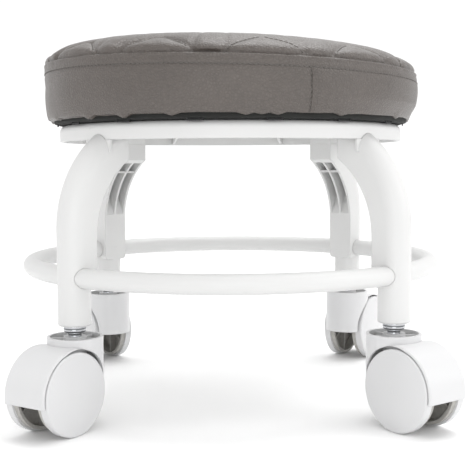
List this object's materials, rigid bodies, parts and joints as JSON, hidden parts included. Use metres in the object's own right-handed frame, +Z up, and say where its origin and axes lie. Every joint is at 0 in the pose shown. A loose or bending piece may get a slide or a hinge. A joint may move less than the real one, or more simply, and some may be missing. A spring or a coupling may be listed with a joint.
{
  "type": "creeper seat",
  "caption": "Low rolling workshop stool: a padded round seat on a bowed-leg plastic frame with a round foot ring and swivelling twin-wheel casters.",
  "frame": {"origin": "centre of the stool at floor level, under the four casters", "axes": "+Z up along the stool's axis, -Y to the front, +X to the right seen from the front; legs stand on the diagonals"},
  "size_m": [0.2884, 0.2884, 0.244],
  "materials": {
    "seat_leather": "fine-grained imitation leather",
    "foam": "open-cell foam",
    "plywood": "raw plywood",
    "dust_cloth": "non-woven cloth",
    "white_plastic": "satin moulded plastic",
    "caster_plastic": "glossy moulded plastic",
    "steel": "zinc-plated",
    "chrome": "bright chrome"
  },
  "bodies": {
    "seat_frame": {"cover_top": "seat_leather", "cover_band": "seat_leather", "foam_pad": "foam", "seat_board": "plywood", "dust_cloth": "dust_cloth", "cover_staples": "steel", "leg_screws": "steel", "board_screws": "steel", "seat_plate": "white_plastic", "foot_ring_back": "white_plastic", "foot_ring_left": "white_plastic", "foot_ring_front": "white_plastic", "foot_ring_right": "white_plastic", "back_right_leg": "white_plastic", "back_right_caster_socket": "chrome", "back_right_stem": "chrome", "back_right_stem_clip": "steel", "back_left_leg": "white_plastic", "back_left_caster_socket": "chrome", "back_left_stem": "chrome", "back_left_stem_clip": "steel", "front_left_leg": "white_plastic", "front_left_caster_socket": "chrome", "front_left_stem": "chrome", "front_left_stem_clip": "steel", "front_right_leg": "white_plastic", "front_right_caster_socket": "chrome", "front_right_stem": "chrome", "front_right_stem_clip": "steel"},
    "back_right_caster": {"back_right_hood": "white_plastic", "back_right_axle": "steel"},
    "back_right_wheel_left": {"back_right_wheel_left": "caster_plastic"},
    "back_right_wheel_right": {"back_right_wheel_right": "caster_plastic"},
    "back_left_caster": {"back_left_hood": "white_plastic", "back_left_axle": "steel"},
    "back_left_wheel_left": {"back_left_wheel_left": "caster_plastic"},
    "back_left_wheel_right": {"back_left_wheel_right": "caster_plastic"},
    "front_left_caster": {"front_left_hood": "white_plastic", "front_left_axle": "steel"},
    "front_left_wheel_left": {"front_left_wheel_left": "caster_plastic"},
    "front_left_wheel_right": {"front_left_wheel_right": "caster_plastic"},
    "front_right_caster": {"front_right_hood": "white_plastic", "front_right_axle": "steel"},
    "front_right_wheel_left": {"front_right_wheel_left": "caster_plastic"},
    "front_right_wheel_right": {"front_right_wheel_right": "caster_plastic"}
  },
  "joints": [
    {"name": "back_right_swivel", "type": "hinge", "parent": "seat_frame", "child": "back_right_caster", "pos_m": [0.09758, 0.09758, 0.056], "axis": [0, 0, 1], "continuous": true},
    {"name": "back_right_roll_left", "type": "hinge", "parent": "back_right_caster", "child": "back_right_wheel_left", "pos_m": [0.10733, 0.11151, 0.025], "axis": [-0.8192, 0.5736, 0], "continuous": true},
    {"name": "back_right_roll_right", "type": "hinge", "parent": "back_right_caster", "child": "back_right_wheel_right", "pos_m": [0.10733, 0.11151, 0.025], "axis": [-0.8192, 0.5736, 0], "continuous": true},
    {"name": "back_left_swivel", "type": "hinge", "parent": "seat_frame", "child": "back_left_caster", "pos_m": [-0.09758, 0.09758, 0.056], "axis": [0, 0, 1], "continuous": true},
    {"name": "back_left_roll_left", "type": "hinge", "parent": "back_left_caster", "child": "back_left_wheel_left", "pos_m": [-0.10733, 0.11151, 0.025], "axis": [-0.8192, -0.5736, 0], "continuous": true},
    {"name": "back_left_roll_right", "type": "hinge", "parent": "back_left_caster", "child": "back_left_wheel_right", "pos_m": [-0.10733, 0.11151, 0.025], "axis": [-0.8192, -0.5736, 0], "continuous": true},
    {"name": "front_left_swivel", "type": "hinge", "parent": "seat_frame", "child": "front_left_caster", "pos_m": [-0.09758, -0.09758, 0.056], "axis": [0, 0, 1], "continuous": true},
    {"name": "front_left_roll_left", "type": "hinge", "parent": "front_left_caster", "child": "front_left_wheel_left", "pos_m": [-0.10733, -0.11151, 0.025], "axis": [0.8192, -0.5736, 0], "continuous": true},
    {"name": "front_left_roll_right", "type": "hinge", "parent": "front_left_caster", "child": "front_left_wheel_right", "pos_m": [-0.10733, -0.11151, 0.025], "axis": [0.8192, -0.5736, 0], "continuous": true},
    {"name": "front_right_swivel", "type": "hinge", "parent": "seat_frame", "child": "front_right_caster", "pos_m": [0.09758, -0.09758, 0.056], "axis": [0, 0, 1], "continuous": true},
    {"name": "front_right_roll_left", "type": "hinge", "parent": "front_right_caster", "child": "front_right_wheel_left", "pos_m": [0.10733, -0.11151, 0.025], "axis": [0.8192, 0.5736, 0], "continuous": true},
    {"name": "front_right_roll_right", "type": "hinge", "parent": "front_right_caster", "child": "front_right_wheel_right", "pos_m": [0.10733, -0.11151, 0.025], "axis": [0.8192, 0.5736, 0], "continuous": true}
  ]
}
